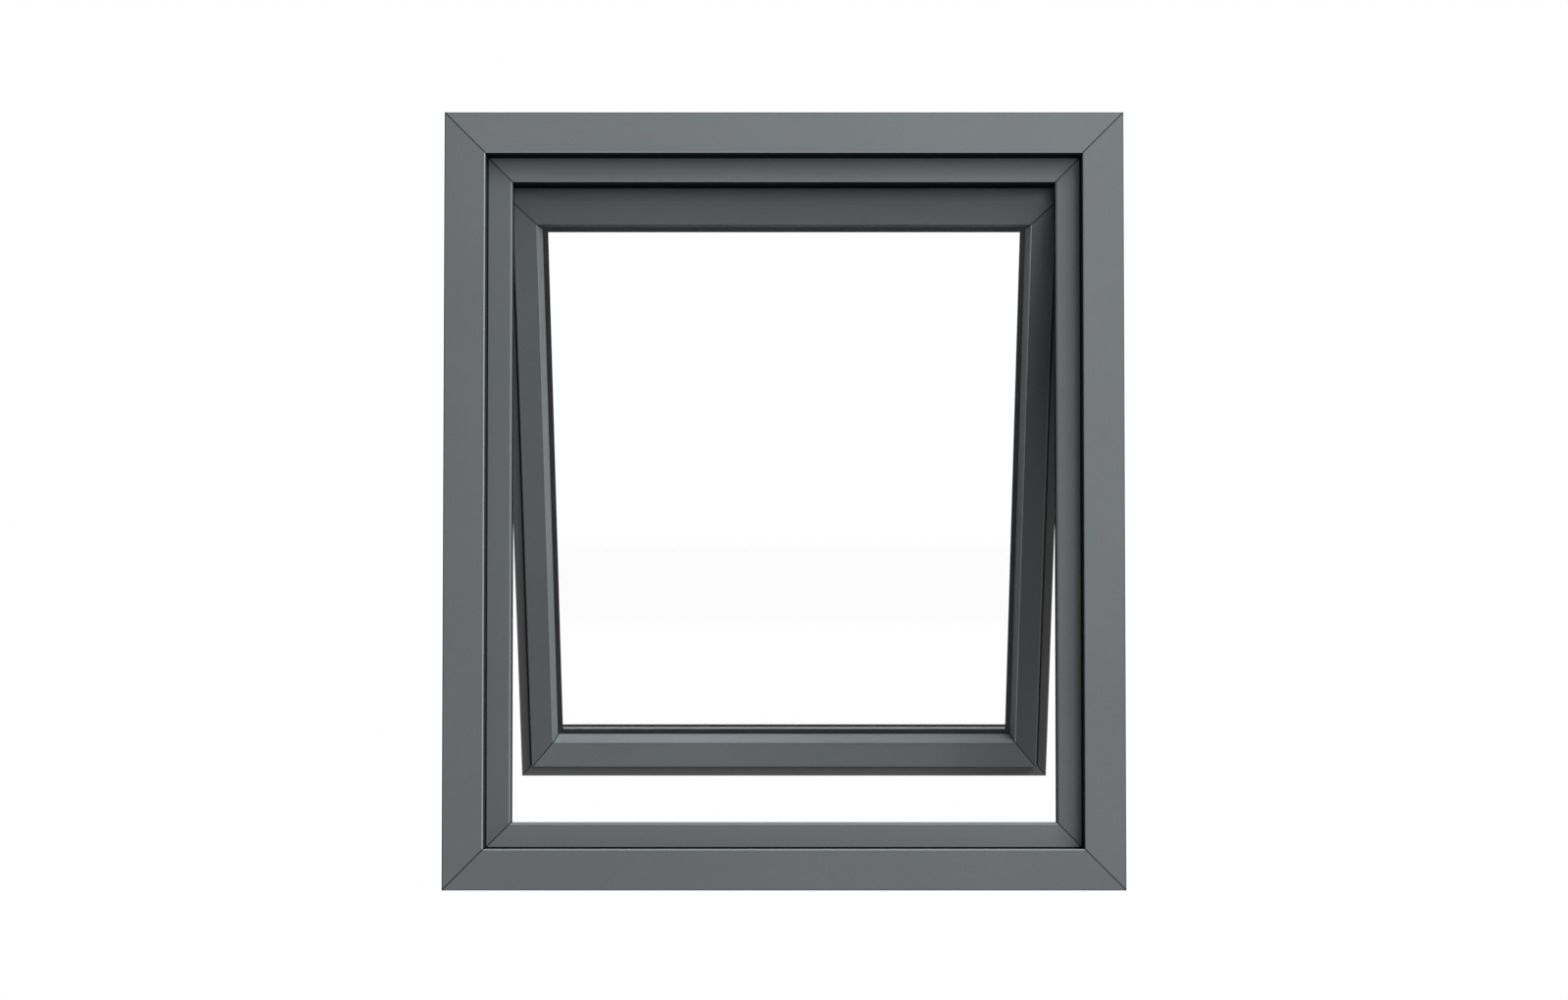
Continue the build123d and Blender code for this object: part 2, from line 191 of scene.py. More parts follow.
class WindowCoat(bpy.types.PropertyGroup):
    """Powder coat of the frame and the sash."""

    frame_colour: FloatVectorProperty(
        name="Frame colour", description="Colour of the frame and its inner stop",
        subtype="COLOR", size=3, min=0, max=1, default=(0.150, 0.164, 0.172))
    sash_colour: FloatVectorProperty(
        name="Sash colour", description="Colour of the sash and its glazing beads",
        subtype="COLOR", size=3, min=0, max=1, default=(0.150, 0.164, 0.172))
    roughness: FloatProperty(
        name="Roughness", description="How matt the coat is", min=0, max=1, default=0.55)
    grain_size: FloatProperty(
        name="Grain size", description="Width of the coat's fine grains",
        subtype="DISTANCE", unit="LENGTH", min=0.0001, max=0.01, default=0.0009)
    seam_width: FloatProperty(
        name="Mitre joint width", description="Width of the fine joint across each corner",
        subtype="DISTANCE", unit="LENGTH", min=0, max=0.005, default=0.0011)
    seam_shade: FloatProperty(
        name="Mitre joint shade", description="Share of the colour that the joint takes away",
        subtype="FACTOR", min=0, max=1, default=0.95)
    # Painted shade on the sides of recesses, most of all on those that face down
    recess_shade: FloatProperty(
        name="Recess shade", description="Share of the colour that the sides of recesses lose",
        subtype="FACTOR", min=0, max=1, default=0.85)
    # Painted shade on the bevels round the outside
    rim_bevel_shade: FloatProperty(
        name="Rim tone", description="Factor of the colour on the bevel round the outside",
        subtype="FACTOR", min=0, max=1, default=0.7)
    flange_tone: FloatVectorProperty(
        name="Flange tone", description="Factors of the colour on the sash's set-back flange",
        subtype="COLOR", size=3, min=0, max=1, default=(0.82, 0.76, 0.72))


class WindowGlazing(bpy.types.PropertyGroup):
    """Glass, seals and spacer bar."""

    glass_tint: FloatVectorProperty(
        name="Glass tint", description="Colour of light that passes the glass",
        subtype="COLOR", size=3, min=0, max=1, default=(0.998, 1.0, 0.999))
    rubber_colour: FloatVectorProperty(
        name="Rubber colour", description="Colour of the weather and glazing seals",
        subtype="COLOR", size=3, min=0, max=1, default=(0.012, 0.012, 0.013))
    spacer_colour: FloatVectorProperty(
        name="Spacer colour", description="Colour of the bar between the panes",
        subtype="COLOR", size=3, min=0, max=1, default=(0.36, 0.37, 0.38))
    hole_pitch: FloatProperty(
        name="Hole pitch", description="Distance between the fine holes of the spacer bar",
        subtype="DISTANCE", unit="LENGTH", min=0.001, max=0.02, default=0.003)
    block_colour: FloatVectorProperty(
        name="Block colour", description="Colour of the glass's setting blocks",
        subtype="COLOR", size=3, min=0, max=1, default=(0.03, 0.07, 0.045))


class WindowStays(bpy.types.PropertyGroup):
    """Friction stays, their small fasteners and the drain caps."""

    steel_colour: FloatVectorProperty(
        name="Steel colour", description="Colour of the stays' bars and tracks",
        subtype="COLOR", size=3, min=0, max=1, default=(0.52, 0.51, 0.49))
    plastic_colour: FloatVectorProperty(
        name="Plastic colour", description="Colour of the sliders and drain caps",
        subtype="COLOR", size=3, min=0, max=1, default=(0.035, 0.037, 0.04))
    screw_head: FloatProperty(
        name="Screw head", description="Diameter of the countersunk screw heads",
        subtype="DISTANCE", unit="LENGTH", min=0.002, max=0.02, default=0.0072)
    rivet_head: FloatProperty(
        name="Rivet head", description="Diameter of the rivet heads at the pivots",
        subtype="DISTANCE", unit="LENGTH", min=0.002, max=0.02, default=0.0096)
    facets: IntProperty(
        name="Facets", description="Sides of each round head", min=8, max=96, default=40)


class WindowStudio(bpy.types.PropertyGroup):
    """Floor, light and camera."""

    floor_drop: FloatProperty(
        name="Floor drop", description="How far the floor lies under the sill",
        subtype="DISTANCE", unit="LENGTH", min=0, max=5, default=0.9)
    floor_size: FloatProperty(
        name="Floor size", description="Width of the square floor",
        subtype="DISTANCE", unit="LENGTH", min=1, max=50, default=12)
    floor_colour: FloatVectorProperty(
        name="Floor colour", description="Colour of the floor",
        subtype="COLOR", size=3, min=0, max=1, default=(0.38, 0.38, 0.38))
    front_power: FloatProperty(
        name="Front light", description="Power of the soft light in front, a little to the right",
        unit="POWER", min=0, max=1000, default=82)
    front_size: FloatProperty(
        name="Front light size", description="Width of the soft light in front",
        subtype="DISTANCE", unit="LENGTH", min=0.1, max=10, default=1.7)
    upper_power: FloatProperty(
        name="Upper light", description="Power of the broad light at the upper right",
        unit="POWER", min=0, max=1000, default=90)
    upper_size: FloatProperty(
        name="Upper light size", description="Width of the broad light at the upper right",
        subtype="DISTANCE", unit="LENGTH", min=0.1, max=10, default=2.0)
    back_power: FloatProperty(
        name="Back light", description="Power of the soft light behind the window",
        unit="POWER", min=0, max=1000, default=115)
    back_size: FloatProperty(
        name="Back light size", description="Width of the soft light behind the window",
        subtype="DISTANCE", unit="LENGTH", min=0.1, max=10, default=1.6)
    surround: FloatProperty(
        name="Surround light", description="Level of the even light from above and all round",
        min=0, max=1, default=0.03)
    lens: FloatProperty(
        name="Lens", description="Focal length of the camera on a 36 mm sensor, in millimetres",
        min=10, max=300, default=79.83)


class Finish:
    """A new material whose nodes are added one by one."""

    def __init__(self, name):
        self.material = bpy.data.materials.new(name)
        self.material.use_nodes = True
        self.tree = self.material.node_tree
        self.tree.nodes.clear()
        self.surface = self.add("ShaderNodeBsdfPrincipled")
        output = self.add("ShaderNodeOutputMaterial")
        self.tree.links.new(self.surface.outputs["BSDF"], output.inputs["Surface"])
        self.place = self.add("ShaderNodeTexCoord").outputs["Object"]

    def add(self, kind, **settings):
        """Adds a node and sets its options."""
        node = self.tree.nodes.new(kind)
        for setting, value in settings.items():
            setattr(node, setting, value)
        return node

    def put(self, socket, value):
        """Feeds a socket from another node or with a plain value."""
        if isinstance(value, bpy.types.NodeSocket):
            self.tree.links.new(value, socket)
        else:
            socket.default_value = value

    def set(self, **values):
        """Sets sockets of the surface, with spaces written as underscores."""
        for name, value in values.items():
            self.put(self.surface.inputs[name.replace("_", " ")], value)

    def math(self, operation, first, second=0.0, third=0.0):
        """Result of one step of arithmetic."""
        node = self.add("ShaderNodeMath", operation=operation)
        for socket, value in zip(node.inputs, (first, second, third)):
            self.put(socket, value)
        return node.outputs[0]

    def dot(self, vector, direction, origin=(0, 0, 0)):
        """Reach of a point along a direction, from an origin."""
        shifted = self.add("ShaderNodeVectorMath", operation="SUBTRACT")
        self.put(shifted.inputs[0], vector)
        self.put(shifted.inputs[1], tuple(origin))
        node = self.add("ShaderNodeVectorMath", operation="DOT_PRODUCT")
        self.put(node.inputs[0], shifted.outputs[0])
        self.put(node.inputs[1], tuple(direction))
        return node.outputs["Value"]

    def noise(self, scale, detail=2.0, stretch=(1, 1, 1)):
        """Even noise with grains of about one over the scale, stretched along the axes."""
        mapping = self.add("ShaderNodeMapping")
        self.put(mapping.inputs["Vector"], self.place)
        self.put(mapping.inputs["Scale"], stretch)
        node = self.add("ShaderNodeTexNoise")
        self.put(node.inputs["Vector"], mapping.outputs[0])
        self.put(node.inputs["Scale"], scale)
        self.put(node.inputs["Detail"], detail)
        return node.outputs[0]

    def fade(self, value, start, end, low=0.0, high=1.0, smooth=True):
        """Carries a value from one range over to another."""
        kind = "SMOOTHSTEP" if smooth else "LINEAR"
        node = self.add("ShaderNodeMapRange", interpolation_type=kind)
        for socket, number in zip(node.inputs, (value, start, end, low, high)):
            self.put(socket, number)
        return node.outputs[0]

    def tint(self, share, dark, light):
        """Colour between two others."""
        node = self.add("ShaderNodeMix", data_type="RGBA")
        self.put(node.inputs[0], share)
        self.put(node.inputs[6], (*dark, 1))
        self.put(node.inputs[7], (*light, 1))
        return node.outputs[2]

    def blend(self, share, first, second, kind="MIX"):
        """Carries one colour over to another as a share rises."""
        node = self.add("ShaderNodeMix", data_type="RGBA", blend_type=kind)
        self.put(node.inputs[0], share)
        self.put(node.inputs[6], first)
        self.put(node.inputs[7], second)
        return node.outputs[2]

    def times(self, colour, factors):
        """Colour with each of its channels scaled."""
        return self.blend(1.0, colour, (*factors, 1), "MULTIPLY")

    def shade(self, colour, share):
        """Darkens a colour where a share is high."""
        return self.blend(share, colour, (0, 0, 0, 1))

    def bump(self, height, depth, strength=1.0):
        """Relief of a given depth in metres, on top of any relief that is there."""
        node = self.add("ShaderNodeBump")
        self.put(node.inputs["Strength"], strength)
        self.put(node.inputs["Distance"], depth)
        self.put(node.inputs["Height"], height)
        present = self.surface.inputs["Normal"].links
        if present:
            self.put(node.inputs["Normal"], present[0].from_socket)
        self.put(self.surface.inputs["Normal"], node.outputs[0])


def scaled(colour, factor):
    """Colour made darker or lighter."""
    return tuple(min(1.0, channel * factor) for channel in colour)


def ring_distances(finish, ring):
    """Distances of a point inward from the side, the top and the bottom of a ring."""
    across = finish.math("ABSOLUTE", finish.dot(finish.place, (1, 0, 0)))
    height = finish.dot(finish.place, ring.up, ring.origin)
    from_side = finish.math("SUBTRACT", ring.half, across)
    from_top = finish.math("SUBTRACT", ring.high, height)
    from_bottom = finish.math("SUBTRACT", height, ring.low)
    return from_side, from_top, from_bottom


def mitre_distance(finish, ring, from_side, from_top, from_bottom):
    """Distance to the nearest mitre of a ring, whose slopes are a rail's width over a stile's."""
    distances = []
    for from_end, slope in ((from_top, ring.top_slope), (from_bottom, ring.bottom_slope)):
        gap = finish.math("SUBTRACT", finish.math("MULTIPLY", from_side, slope), from_end)
        distances.append(finish.math("DIVIDE", finish.math("ABSOLUTE", gap), sqrt(1 + slope**2)))
    return finish.math("MINIMUM", *distances)


def groove_shade_mask(finish, ring, depth, normal, from_side, from_bottom):
    """One on the floors of the fine grooves, which face the room behind a given depth and get painted
    shade.
    """
    mask = finish.math("LESS_THAN", finish.dot(normal, ring.out), FACES_ROOM)
    limits = (
        (depth, ring.groove_depth), (from_side, ring.groove_side), (from_bottom, ring.groove_bottom),
    )
    for reach, limit in limits:
        mask = finish.math("MULTIPLY", mask, finish.math("GREATER_THAN", reach, limit))
    return mask


def flange_mask(finish, ring, depth, normal):
    """One on the flange's faces to the room."""
    behind = finish.math("GREATER_THAN", depth, ring.flange_depth)
    to_room = finish.math("LESS_THAN", finish.dot(normal, ring.out), FACES_ROOM)
    return finish.math("MULTIPLY", behind, to_room)


def recess_shade_mask(finish, ring, normal, lean, upward):
    """One on sides that face the middle of the ring, and on its top side where that is hidden: the places
    that get painted shade.
    """
    middle = (ring.low + ring.high) / 2
    rise = finish.math("SUBTRACT", middle, finish.dot(finish.place, ring.up, ring.origin))
    to_side = finish.math(
        "MULTIPLY", finish.dot(normal, (1, 0, 0)), finish.dot(finish.place, (-1, 0, 0)))
    to_height = finish.math("MULTIPLY", upward, rise)
    inward = finish.math("GREATER_THAN", finish.math("ADD", to_side, to_height), 0.0)
    if ring.top_hidden:
        inward = finish.math("MAXIMUM", inward, finish.math("GREATER_THAN", upward, 0.5))
    return finish.math("MULTIPLY", finish.math("LESS_THAN", lean, SIDE_LEAN), inward)


def powder_coat(name, colour, bevel_highlight, coat, ring):
    """Matt powder coat with fine grain, slow changes of tone and a fine joint at each mitre.

    It has a painted highlight on fine bevels, painted shade on the rim's bevels and on the sides of
    recesses, most of all on those that face down, and painted shade on the floors of fine grooves.
    """
    finish = Finish(name)
    from_side, from_top, from_bottom = ring_distances(finish, ring)
    distance = mitre_distance(finish, ring, from_side, from_top, from_bottom)
    seam = finish.fade(distance, 0.0, coat.seam_width, 1.0, 0.0)
    cloud = finish.noise(7, 3)
    grain = finish.noise(1 / coat.grain_size, 2)
    tone = finish.math(
        "ADD", finish.math("MULTIPLY", cloud, 0.6), finish.math("MULTIPLY", grain, 0.4))
    colour_now = finish.tint(
        finish.fade(tone, 0.3, 0.7), scaled(colour, 0.96), scaled(colour, 1.04))
    normal = finish.add("ShaderNodeNewGeometry").outputs["True Normal"]
    lean = finish.math("ABSOLUTE", finish.dot(normal, ring.out))
    depth = finish.dot(finish.place, ring.out, ring.origin)
    on_flange = flange_mask(finish, ring, depth, normal)
    colour_now = finish.blend(on_flange, colour_now, finish.times(colour_now, coat.flange_tone))
    from_edge = finish.math("MINIMUM", from_side, from_bottom)
    if not ring.top_hidden:
        from_edge = finish.math("MINIMUM", from_edge, from_top)
    rim = finish.math("LESS_THAN", from_edge, ring.rim_width)
    # Painted highlight on the fine bevels, painted shade on the bevels of the rim
    highlighted, rim_shaded = scaled(colour, 1 + bevel_highlight), scaled(colour, coat.rim_bevel_shade)
    bevel_light_and_shade = finish.blend(rim, (*highlighted, 1), (*rim_shaded, 1))
    bevel = finish.math("COMPARE", lean, BEVEL_LEAN, BEVEL_TOLERANCE)
    colour_now = finish.blend(bevel, colour_now, bevel_light_and_shade)
    upward = finish.dot(normal, ring.up)
    inner_side = recess_shade_mask(finish, ring, normal, lean, upward)
    # Painted shade on the recess sides, strongest where they face down
    in_shadow = finish.fade(upward, -1.0, 1.0, 1.0, UPWARD_SHARE, smooth=False)
    shade = finish.math("MULTIPLY", in_shadow, coat.recess_shade)
    recess = finish.math("MULTIPLY", inner_side, shade)
    # Painted shade, near black, on the groove floors, joined with the darker mitre joint
    groove = groove_shade_mask(finish, ring, depth, normal, from_side, from_bottom)
    line = finish.math("MAXIMUM", finish.math("MULTIPLY", seam, coat.seam_shade), groove)
    finish.set(Base_Color=finish.shade(finish.shade(colour_now, recess), line))
    finish.set(Specular_IOR_Level=finish.fade(inner_side, 0.0, 1.0, 0.12, 0.0))
    finish.set(Roughness=finish.fade(
        finish.noise(90, 3), 0.3, 0.7, coat.roughness - 0.03, coat.roughness + 0.04))
    finish.bump(grain, 0.00003, 0.35)
    finish.bump(finish.math("SUBTRACT", 1.0, seam), 0.0002, 0.5)
    return finish.material


def rubber(name, colour):
    """Soft dark rubber with a dusty bloom and a faint skin."""
    finish = Finish(name)
    bloom = finish.noise(45, 4)
    finish.set(Base_Color=finish.tint(
        finish.fade(bloom, 0.35, 0.75), scaled(colour, 0.8), scaled(colour, 1.7)))
    finish.set(Roughness=finish.fade(finish.noise(300, 2), 0.3, 0.7, 0.55, 0.72))
    finish.set(Specular_IOR_Level=0.35)
    finish.bump(finish.noise(900, 2), 0.00004, 0.5)
    return finish.material


def float_glass(name, tint):
    """Clear float glass with a very slight wave."""
    finish = Finish(name)
    draw = finish.noise(4, 2, (1, 0.2, 0.6))
    finish.set(Base_Color=finish.tint(draw, scaled(tint, 0.998), scaled(tint, 1.001)))
    finish.set(Transmission_Weight=1.0, Roughness=0.0, IOR=1.5)
    finish.set(Specular_Tint=(0.14, 0.14, 0.14, 1))
    finish.bump(draw, 0.0002, 0.02)
    return finish.material


def spacer_metal(name, colour, pitch):
    """Matt aluminium strip with a row of fine holes along its middle."""
    finish = Finish(name)
    depth_low, depth_high = along("spacer_bar", SASH_OUT)
    from_middle = finish.math(
        "SUBTRACT", finish.dot(finish.place, SASH_OUT, PIVOT), (depth_low + depth_high) / 2)
    normal = finish.add("ShaderNodeNewGeometry").outputs["Normal"]
    on_stile = finish.math("GREATER_THAN", finish.math("ABSOLUTE", finish.dot(normal, (1, 0, 0))), 0.5)
    lengthwise = finish.add("ShaderNodeMix", data_type="FLOAT")
    finish.put(lengthwise.inputs[0], on_stile)
    finish.put(lengthwise.inputs[2], finish.dot(finish.place, (1, 0, 0)))
    finish.put(lengthwise.inputs[3], finish.dot(finish.place, SASH_UP, PIVOT))
    from_hole = finish.math("PINGPONG", lengthwise.outputs[0], pitch / 2)
    reach = finish.math("SQRT", finish.math(
        "ADD", finish.math("POWER", from_middle, 2.0), finish.math("POWER", from_hole, 2.0)))
    hole = finish.fade(reach, *SPACER_HOLE, 1.0, 0.0)
    brushed = finish.noise(400, 2, (1, 6, 1))
    colour_now = finish.tint(brushed, scaled(colour, 0.9), scaled(colour, 1.1))
    finish.set(Base_Color=finish.shade(colour_now, finish.math("MULTIPLY", hole, 0.85)))
    finish.set(Metallic=0.85, Roughness=finish.fade(brushed, 0.3, 0.7, 0.38, 0.5))
    finish.bump(finish.math("SUBTRACT", 1.0, hole), 0.0003, 0.6)
    return finish.material


def sealant(name, colour):
    """Dull edge sealant laid on by hand, a little lumpy."""
    finish = Finish(name)
    lumps = finish.noise(160, 3)
    finish.set(Base_Color=finish.tint(lumps, scaled(colour, 0.8), scaled(colour, 1.4)))
    finish.set(Roughness=finish.fade(lumps, 0.3, 0.7, 0.7, 0.88), Specular_IOR_Level=0.3)
    finish.bump(lumps, 0.0003, 0.5)
    return finish.material


def moulded_plastic(name, colour):
    """Moulded plastic with a finely spark-eroded skin."""
    finish = Finish(name)
    skin = finish.noise(1500, 3)
    flow = finish.noise(25, 2)
    finish.set(Base_Color=finish.tint(flow, scaled(colour, 0.85), scaled(colour, 1.2)))
    finish.set(Roughness=finish.fade(skin, 0.3, 0.7, 0.42, 0.6))
    finish.bump(skin, 0.00005, 0.4)
    return finish.material


def brushed_steel(name, colour):
    """Stainless steel strip brushed along its length."""
    finish = Finish(name)
    lines = finish.noise(2600, 3, (1, 1, 0.03))
    smears = finish.noise(30, 3)
    tone = finish.math(
        "ADD", finish.math("MULTIPLY", lines, 0.65), finish.math("MULTIPLY", smears, 0.35))
    finish.set(Base_Color=finish.tint(
        finish.fade(tone, 0.3, 0.7), scaled(colour, 0.84), scaled(colour, 1.12)))
    finish.set(Metallic=1.0, Roughness=finish.fade(tone, 0.3, 0.7, 0.26, 0.42))
    finish.bump(lines, 0.00003, 0.35)
    return finish.material


def turned_steel(name, colour):
    """Plated steel of screws and rivets, with fine specks."""
    finish = Finish(name)
    specks = finish.noise(1200, 3)
    finish.set(Base_Color=finish.tint(
        finish.fade(specks, 0.35, 0.65), scaled(colour, 0.8), scaled(colour, 1.15)))
    finish.set(Metallic=1.0, Roughness=finish.fade(specks, 0.3, 0.7, 0.24, 0.38))
    finish.bump(specks, 0.00002, 0.3)
    return finish.material


def coat_nodes(names, material):
    """Gives CAD nodes a material in place of their plain one."""
    for name in names:
        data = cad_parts[name].data
        if data.materials:
            for index in range(len(data.materials)):
                data.materials[index] = material
        else:
            data.materials.append(material)


def coat_bars(names, colour, coat, ring):
    """Gives each bar of a ring its own coat, with its own painted light and shade and its own painted
    bevel highlight.
    """
    for name in names:
        tone, bevel_highlight = BAR_PAINTED_LIGHT[name]
        # The bar's painted light and shade scale its colour
        lit_bar_colour = scaled(colour, tone)
        coat_nodes([name], powder_coat(f"{name}_coat", lit_bar_colour, bevel_highlight, coat, ring))


def facing(origin, axis):
    """Matrix that stands a piece on a point with its own Z along an axis."""
    return Matrix.Translation(origin) @ axis.to_track_quat("Z", "Y").to_matrix().to_4x4()


def ring_of(mesh, radius, height, count):
    """Circle of vertices about the local Z axis."""
    return [mesh.verts.new((radius * cos(2 * pi * i / count), radius * sin(2 * pi * i / count), height))
            for i in range(count)]


def join_rings(mesh, lower, upper):
    """Walls between two circles with the same count of vertices."""
    count = len(lower)
    for i in range(count):
        mesh.faces.new((lower[i], lower[(i + 1) % count], upper[(i + 1) % count], upper[i]))


def loop_edges(mesh, loop):
    """Edges round a closed loop of vertices, made where they are missing."""
    found = []
    for start, end in zip(loop, loop[1:] + loop[:1]):
        found.append(mesh.edges.get((start, end)) or mesh.edges.new((start, end)))
    return found


def screw_head(mesh, radius, proud, sunk, count):
    """Countersunk head with a cross recess, its top just proud of the local XY plane."""
    rings = [
        ring_of(mesh, radius * 0.55, -sunk, count),
        ring_of(mesh, radius, 0.0, count),
        ring_of(mesh, radius * 0.97, proud * 0.7, count),
        ring_of(mesh, radius * 0.9, proud, count),
    ]
    for lower, upper in zip(rings, rings[1:]):
        join_rings(mesh, lower, upper)
    mesh.faces.new(list(reversed(rings[0])))
    arm, slot = radius * 0.52, radius * 0.13
    outline = [(arm, -slot), (arm, slot), (slot, slot), (slot, arm), (-slot, arm), (-slot, slot)]
    outline += [(-x, -y) for x, y in outline]
    rim = [mesh.verts.new((x, y, proud)) for x, y in outline]
    floor = [mesh.verts.new((x * 0.8, y * 0.8, proud - radius * 0.3)) for x, y in outline]
    edges = loop_edges(mesh, rings[-1]) + loop_edges(mesh, rim)
    bmesh.ops.triangle_fill(mesh, use_beauty=True, edges=edges)
    join_rings(mesh, rim, floor)
    mesh.faces.new(floor)


def rivet_head(mesh, radius, rise, count):
    """Low domed head with a small dimple where it was set."""
    rings = [ring_of(mesh, radius * share, rise * level, count) for share, level in RIVET_PROFILE]
    for lower, upper in zip(rings, rings[1:]):
        join_rings(mesh, lower, upper)
    mesh.faces.new(rings[-1])
    mesh.faces.new(list(reversed(rings[0])))


def end_stop(mesh, width, rise, length):
    """Moulded stop that fills the end of a track, with a ramp on its inner side."""
    half, ease = width / 2, END_STOP_EASE
    profile = [
        (0, 0), (length, 0), (length, rise * 0.45), (length * 0.62, rise), (ease, rise), (0, rise * 0.8),
    ]
    loops = []
    for side, inset in ((-half, ease), (-half + ease, 0), (half - ease, 0), (half, ease)):
        loop = []
        for y, z in profile:
            y_in = y + inset if y < length / 2 else y - inset
            z_in = z + inset if z < rise / 2 else z - inset
            loop.append(mesh.verts.new((side, y_in, z_in)))
        loops.append(loop)
    for lower, upper in zip(loops, loops[1:]):
        join_rings(mesh, lower, upper)
    mesh.faces.new(list(reversed(loops[0])))
    mesh.faces.new(loops[-1])


def fit_piece(name, parts, material, smooth_angle=35):
    """Makes one object of several small forms, each given with its place."""
    whole = bmesh.new()
    for place, build in parts:
        single = bmesh.new()
        build(single)
        bmesh.ops.recalc_face_normals(single, faces=single.faces)
        single.transform(place)
        loose = bpy.data.meshes.new("loose")
        single.to_mesh(loose)
        single.free()
        whole.from_mesh(loose)
        bpy.data.meshes.remove(loose)
    data = bpy.data.meshes.new(name)
    whole.to_mesh(data)
    whole.free()
    data.shade_smooth()
    data.set_sharp_from_angle(angle=radians(smooth_angle))
    data.materials.append(material)
    piece = bpy.data.objects.new(name, data)
    bpy.context.scene.collection.objects.link(piece)
    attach(piece, "root")
    return piece


class OBJECT_OT_coat_window_frame(bpy.types.Operator):
    """Coats the outer frame and its inner stop"""

    bl_idname = "object.coat_window_frame"
    bl_label = "Coat the Frame"

    def execute(self, context):
        coat = context.scene.window_coat
        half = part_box("frame_jamb_right")[1].x
        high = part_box("frame_head")[1].z
        behind_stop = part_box("stop_head")[0].y + STOP_GROOVE
        ring = Ring(
            origin=Vector((0, 0, 0)), up=Vector((0, 0, 1)), out=Vector((0, 1, 0)),
            half=half, low=0.0, high=high, flange_depth=behind_stop, groove_depth=behind_stop,
            top_hidden=False, rim_width=RIM_WIDTH)
        coat_bars(FRAME_NODES + STOP_NODES, coat.frame_colour, coat, ring)
        return {"FINISHED"}


class OBJECT_OT_coat_window_sash(bpy.types.Operator):
    """Coats the sash and its glazing beads"""

    bl_idname = "object.coat_window_sash"
    bl_label = "Coat the Sash"

    def execute(self, context):
        coat = context.scene.window_coat
        low, high = along("sash_bottom_rail", SASH_UP)[0], along("sash_top_rail", SASH_UP)[1]
        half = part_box("sash_stile_right")[1].x
        flange = along("sash_bottom_rail", SASH_OUT)[0] + FLANGE_SET_BACK
        groove_side, groove_bottom = GROOVE_STARTS
        ring = Ring(
            origin=PIVOT, up=SASH_UP, out=SASH_OUT, half=half, low=low, high=high,
            top_slope=TOP_RAIL_WIDTH / STILE_WIDTH, bottom_slope=BOTTOM_RAIL_WIDTH / STILE_WIDTH,
            flange_depth=flange, groove_depth=flange, groove_side=groove_side,
            groove_bottom=groove_bottom, rim_width=RIM_WIDTH)
        coat_bars(SASH_NODES, coat.sash_colour, coat, ring)
        low, high = along("bead_bottom", SASH_UP)[0], along("bead_top", SASH_UP)[1]
        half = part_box("bead_right")[1].x
        ring = Ring(
            origin=PIVOT, up=SASH_UP, out=SASH_OUT, half=half, low=low, high=high,
            top_slope=TOP_BEAD_WIDTH / BEAD_WIDTH)
        coat_bars(BEAD_NODES, coat.sash_colour, coat, ring)
        return {"FINISHED"}


class OBJECT_OT_finish_window_glazing(bpy.types.Operator):
    """Finishes the glass, the seals and what holds the glass"""

    bl_idname = "object.finish_window_glazing"
    bl_label = "Finish the Glazing"

    def execute(self, context):
        glazing = context.scene.window_glazing
        coat_nodes(("frame_seal",), rubber("weather_seal_rubber", glazing.rubber_colour))
        glazing_rubber = rubber("glazing_rubber", glazing.rubber_colour)
        coat_nodes(("inner_glazing_seal", "outer_glazing_seal"), glazing_rubber)
        coat_nodes(PANE_NODES, float_glass("float_glass", glazing.glass_tint))
        spacer = spacer_metal("spacer_aluminium", glazing.spacer_colour, glazing.hole_pitch)
        coat_nodes(("spacer_bar",), spacer)
        coat_nodes(("edge_seal",), sealant("edge_sealant", glazing.rubber_colour))
        coat_nodes(("glazing_blocks",), moulded_plastic("setting_block_plastic", glazing.block_colour))
        return {"FINISHED"}


class OBJECT_OT_finish_window_stays(bpy.types.Operator):
    """Finishes the friction stays and the drain caps"""

    bl_idname = "object.finish_window_stays"
    bl_label = "Finish the Stays"

    def execute(self, context):
        stays = context.scene.window_stays
        steel = brushed_steel("stay_steel", stays.steel_colour)
        nylon = moulded_plastic("slider_nylon", stays.plastic_colour)
        for side in SIDES:
            coat_nodes([f"stay_{side}_{part}" for part in ("track", "sash_bar", "support_arm")], steel)
            coat_nodes([f"stay_{side}_slider"], nylon)
        coat_nodes(("drain_caps",), moulded_plastic("drain_cap_plastic", stays.plastic_colour))
        return {"FINISHED"}


